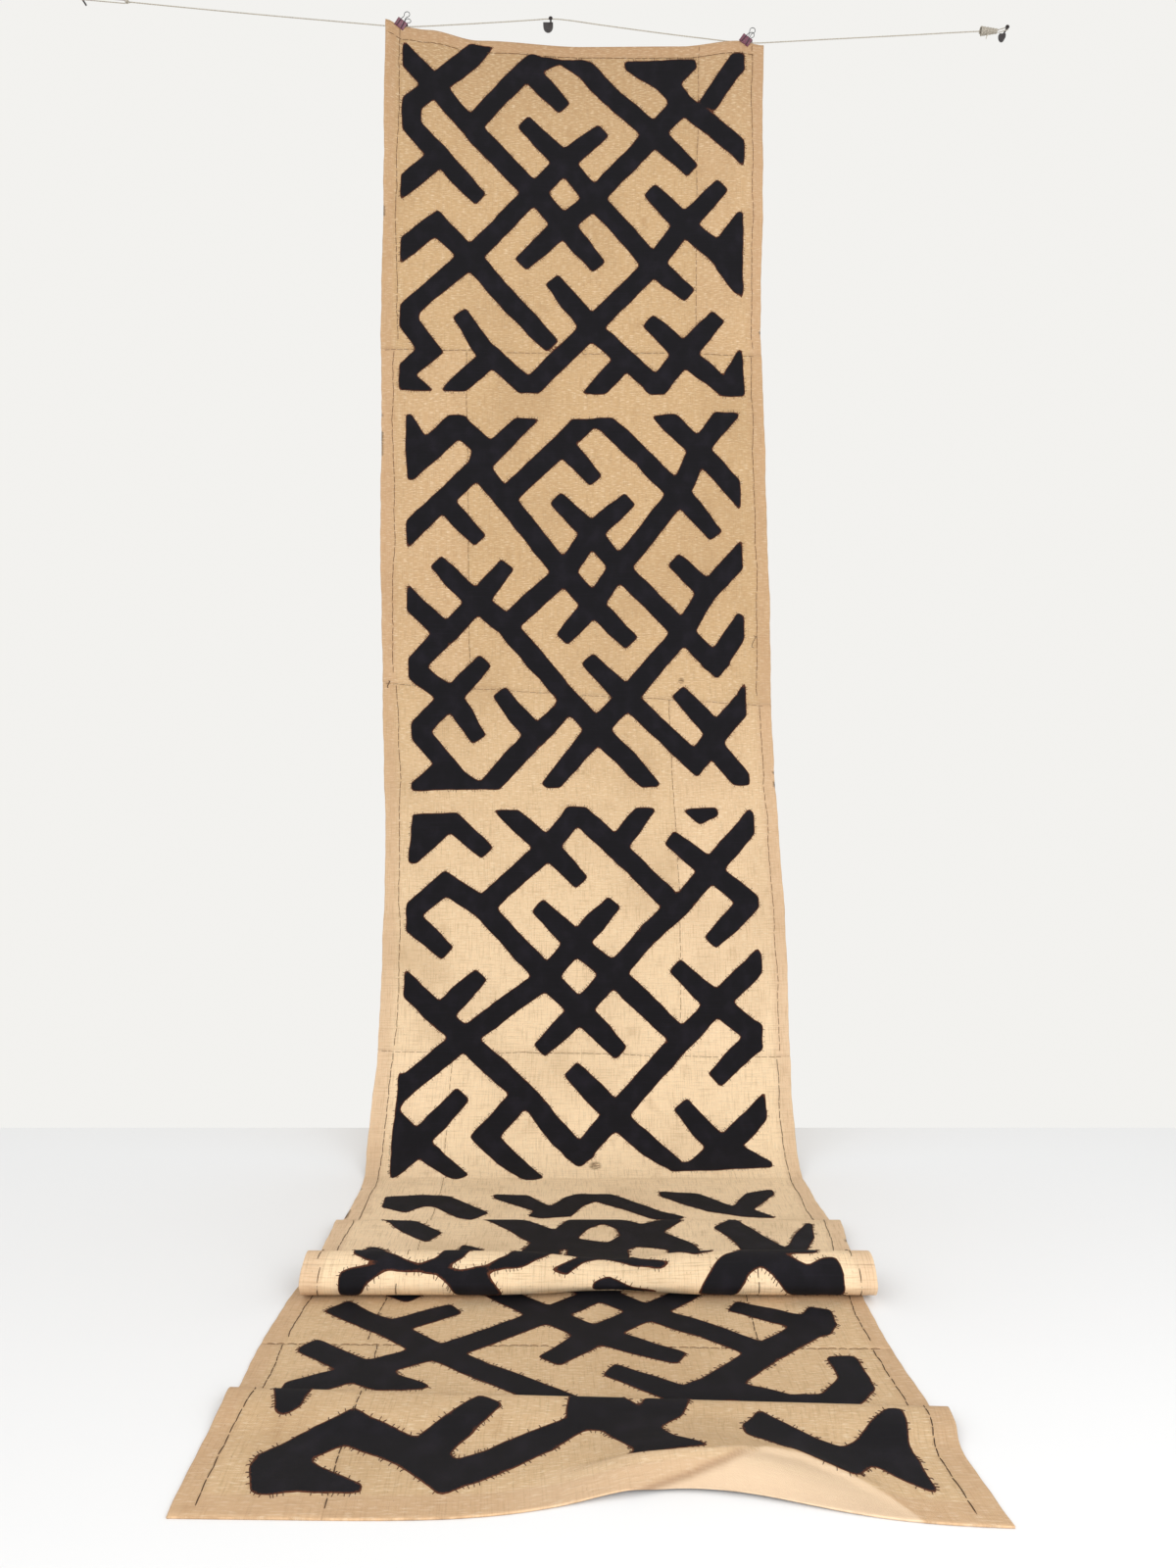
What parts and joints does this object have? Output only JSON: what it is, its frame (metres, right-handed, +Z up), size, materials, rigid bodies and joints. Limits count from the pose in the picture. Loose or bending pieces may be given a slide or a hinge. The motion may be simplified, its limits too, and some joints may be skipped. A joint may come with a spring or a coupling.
{
  "type": "kuba raffia cloth on a hanging line",
  "caption": "Long appliqué raffia cloth of sewn panels, clipped to a taut nailed line, hanging to the floor and folded over on itself there.",
  "frame": {"origin": "centre of the middle nail's back end, on the wall's plane", "axes": "+X to the right as the cloth is seen from the room, +Y into the wall, +Z up"},
  "size_m": [1.6038, 1.1098, 1.9531],
  "materials": {
    "raffia": "plain woven raffia, tan, with black appliqué",
    "raffia_strip": "plain woven raffia, slightly lighter tan",
    "line_string": "twisted grey-beige string",
    "clip_paint": "mauve lacquered spring steel",
    "wire_steel": "dark plated wire",
    "nail_steel": "dark blued steel",
    "saddle_plastic": "dark brown moulded"
  },
  "bodies": {
    "root": {"panel_1_main": "raffia", "panel_1_strip": "raffia_strip", "panel_2_main": "raffia", "panel_2_strip": "raffia_strip", "panel_3_main": "raffia", "panel_3_strip": "raffia_strip", "panel_4_main": "raffia", "panel_4_strip": "raffia_strip", "panel_5_main": "raffia", "panel_5_strip_left": "raffia_strip", "panel_5_strip_right": "raffia_strip", "panel_6_main": "raffia", "panel_6_strip": "raffia_strip", "line": "line_string", "line_knot_left": "line_string", "line_loop_left": "line_string", "line_winding_right": "line_string", "line_loop_right": "line_string", "line_tail_right": "line_string", "nail_left": "nail_steel", "nail_middle": "nail_steel", "nail_right": "nail_steel", "cable_clip_middle": "saddle_plastic", "cable_clip_right": "saddle_plastic", "clip_left_body": "clip_paint", "clip_left_handle_front": "wire_steel", "clip_left_handle_back": "wire_steel", "clip_right_body": "clip_paint", "clip_right_handle_front": "wire_steel", "clip_right_handle_back": "wire_steel"}
  },
  "joints": []
}
